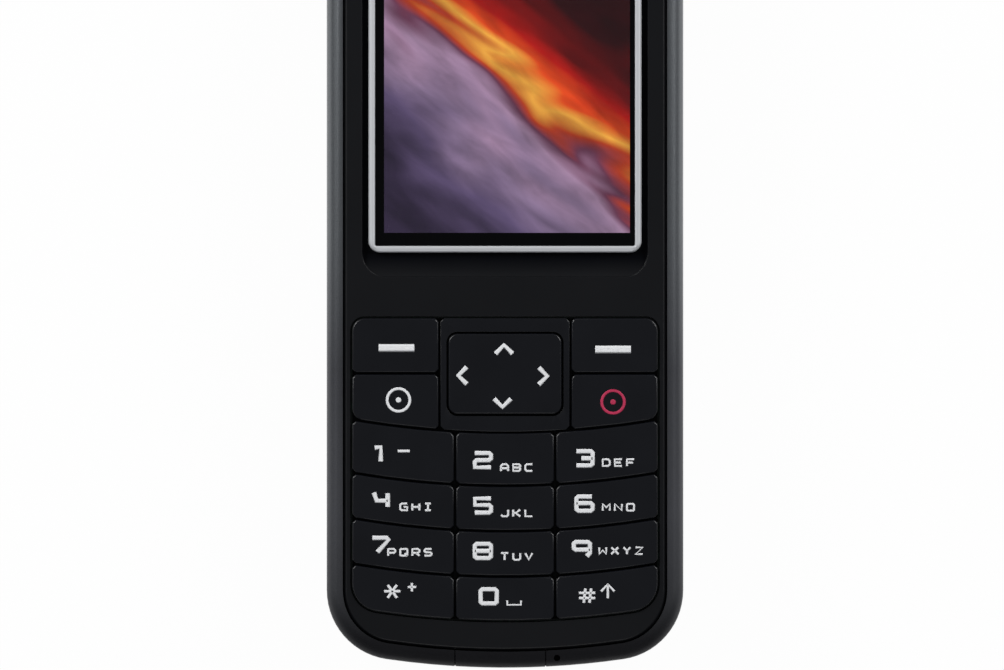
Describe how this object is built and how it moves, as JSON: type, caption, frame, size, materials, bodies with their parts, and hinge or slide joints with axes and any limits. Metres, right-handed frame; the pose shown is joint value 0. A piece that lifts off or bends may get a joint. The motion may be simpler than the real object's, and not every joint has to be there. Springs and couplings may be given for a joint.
{
  "type": "mobile phone",
  "caption": "Flat bar-shaped mobile phone with a recessed screen, a four-way key, number keys, a sliding battery cover and a hinged port flap.",
  "frame": {"origin": "on the table under the middle of the phone lying on its back", "axes": "+Z out of the screen, +Y towards the earpiece end, +X to the right seen from the front"},
  "size_m": [0.046, 0.109, 0.0136],
  "materials": {
    "black_panel": "satin painted",
    "grey_band": "metallic paint, satin",
    "black_housing": "fine matt texture",
    "key_plastic": "satin",
    "bright_rim": "polished",
    "clear_window": "polished",
    "display_glass": "polished",
    "white_diffuser": "matt",
    "tinned_steel": "bright",
    "black_foam": "matt",
    "silicone": "matt",
    "dome_film": "satin",
    "green_board": "solder mask",
    "amber_film": "satin",
    "battery_wrap": "printed film",
    "gold_contact": "plated",
    "black_moulding": "matt",
    "white_card": "satin",
    "dark_steel": "blackened"
  },
  "bodies": {
    "phone": {"front_cover": "black_panel", "side_frame": "grey_band", "rear_housing": "black_housing", "display_window": "clear_window", "display_ring": "bright_rim", "display_gasket": "black_foam", "lcd_glass": "display_glass", "lcd_backlight": "white_diffuser", "lcd_frame": "tinned_steel", "lcd_flex": "amber_film", "earpiece_grille": "tinned_steel", "earpiece_speaker": "black_moulding", "nav_bezel": "key_plastic", "key_mat": "silicone", "dome_sheet": "dome_film", "main_board": "green_board", "battery": "battery_wrap", "battery_pads": "gold_contact", "battery_contacts": "black_moulding", "sim_holder": "tinned_steel", "sim_card": "white_card", "shield_cans": "tinned_steel", "port_connector": "tinned_steel", "microphone": "tinned_steel", "camera_window": "clear_window", "camera_module": "black_moulding", "loudspeaker": "black_moulding", "vibration_motor": "tinned_steel", "antenna_carrier": "black_moulding", "antenna_foil": "gold_contact", "housing_screws": "dark_steel"},
    "battery_cover": {"battery_cover": "black_housing"},
    "port_cover": {"port_cover": "grey_band"},
    "nav_rocker_base": {"nav_rocker_base": "black_moulding"},
    "nav_key": {"nav_key": "key_plastic"},
    "vibration_weight": {"vibration_weight": "dark_steel"},
    "key_1": {"key_1": "key_plastic"},
    "key_2": {"key_2": "key_plastic"},
    "key_3": {"key_3": "key_plastic"},
    "key_4": {"key_4": "key_plastic"},
    "key_5": {"key_5": "key_plastic"},
    "key_6": {"key_6": "key_plastic"},
    "key_7": {"key_7": "key_plastic"},
    "key_8": {"key_8": "key_plastic"},
    "key_9": {"key_9": "key_plastic"},
    "key_star": {"key_star": "key_plastic"},
    "key_0": {"key_0": "key_plastic"},
    "key_hash": {"key_hash": "key_plastic"},
    "soft_key_left": {"soft_key_left": "key_plastic"},
    "soft_key_right": {"soft_key_right": "key_plastic"},
    "send_key": {"send_key": "key_plastic"},
    "end_key": {"end_key": "key_plastic"}
  },
  "joints": [
    {"name": "press_key_1", "type": "slide", "parent": "phone", "child": "key_1", "axis": [0, 0, -1], "range_m": [0, 0.00025], "stiffness_N_per_m": 1000},
    {"name": "press_key_2", "type": "slide", "parent": "phone", "child": "key_2", "axis": [0, 0, -1], "range_m": [0, 0.00025], "stiffness_N_per_m": 1000},
    {"name": "press_key_3", "type": "slide", "parent": "phone", "child": "key_3", "axis": [0, 0, -1], "range_m": [0, 0.00025], "stiffness_N_per_m": 1000},
    {"name": "press_key_4", "type": "slide", "parent": "phone", "child": "key_4", "axis": [0, 0, -1], "range_m": [0, 0.00025], "stiffness_N_per_m": 1000},
    {"name": "press_key_5", "type": "slide", "parent": "phone", "child": "key_5", "axis": [0, 0, -1], "range_m": [0, 0.00025], "stiffness_N_per_m": 1000},
    {"name": "press_key_6", "type": "slide", "parent": "phone", "child": "key_6", "axis": [0, 0, -1], "range_m": [0, 0.00025], "stiffness_N_per_m": 1000},
    {"name": "press_key_7", "type": "slide", "parent": "phone", "child": "key_7", "axis": [0, 0, -1], "range_m": [0, 0.00025], "stiffness_N_per_m": 1000},
    {"name": "press_key_8", "type": "slide", "parent": "phone", "child": "key_8", "axis": [0, 0, -1], "range_m": [0, 0.00025], "stiffness_N_per_m": 1000},
    {"name": "press_key_9", "type": "slide", "parent": "phone", "child": "key_9", "axis": [0, 0, -1], "range_m": [0, 0.00025], "stiffness_N_per_m": 1000},
    {"name": "press_key_star", "type": "slide", "parent": "phone", "child": "key_star", "axis": [0, 0, -1], "range_m": [0, 0.00025], "stiffness_N_per_m": 1000},
    {"name": "press_key_0", "type": "slide", "parent": "phone", "child": "key_0", "axis": [0, 0, -1], "range_m": [0, 0.00025], "stiffness_N_per_m": 1000},
    {"name": "press_key_hash", "type": "slide", "parent": "phone", "child": "key_hash", "axis": [0, 0, -1], "range_m": [0, 0.00025], "stiffness_N_per_m": 1000},
    {"name": "press_soft_key_left", "type": "slide", "parent": "phone", "child": "soft_key_left", "axis": [0, 0, -1], "range_m": [0, 0.00025], "stiffness_N_per_m": 1000},
    {"name": "press_soft_key_right", "type": "slide", "parent": "phone", "child": "soft_key_right", "axis": [0, 0, -1], "range_m": [0, 0.00025], "stiffness_N_per_m": 1000},
    {"name": "press_send_key", "type": "slide", "parent": "phone", "child": "send_key", "axis": [0, 0, -1], "range_m": [0, 0.00025], "stiffness_N_per_m": 1000},
    {"name": "press_end_key", "type": "slide", "parent": "phone", "child": "end_key", "axis": [0, 0, -1], "range_m": [0, 0.00025], "stiffness_N_per_m": 1000},
    {"name": "rock_up_down", "type": "hinge", "parent": "phone", "child": "nav_rocker_base", "pos_m": [0, -0.01659, 0.01134], "axis": [1, 0, 0], "range_deg": [-1.5, 1.5], "stiffness_Nm_per_rad": 0.05},
    {"name": "rock_left_right", "type": "hinge", "parent": "nav_rocker_base", "child": "nav_key", "pos_m": [0, -0.01659, 0.01195], "axis": [0, 1, 0], "range_deg": [-1.5, 1.5], "stiffness_Nm_per_rad": 0.05},
    {"name": "slide_battery_cover", "type": "slide", "parent": "phone", "child": "battery_cover", "axis": [0, -1, 0], "range_m": [0, 0.006]},
    {"name": "open_port_cover", "type": "hinge", "parent": "phone", "child": "port_cover", "pos_m": [-0.0006, -0.05382, 0.0063], "axis": [1, 0, 0], "range_deg": [0, 90]},
    {"name": "spin_vibration_weight", "type": "hinge", "parent": "phone", "child": "vibration_weight", "pos_m": [-0.0135, 0.034, 0.00335], "axis": [0, 1, 0], "continuous": true}
  ]
}
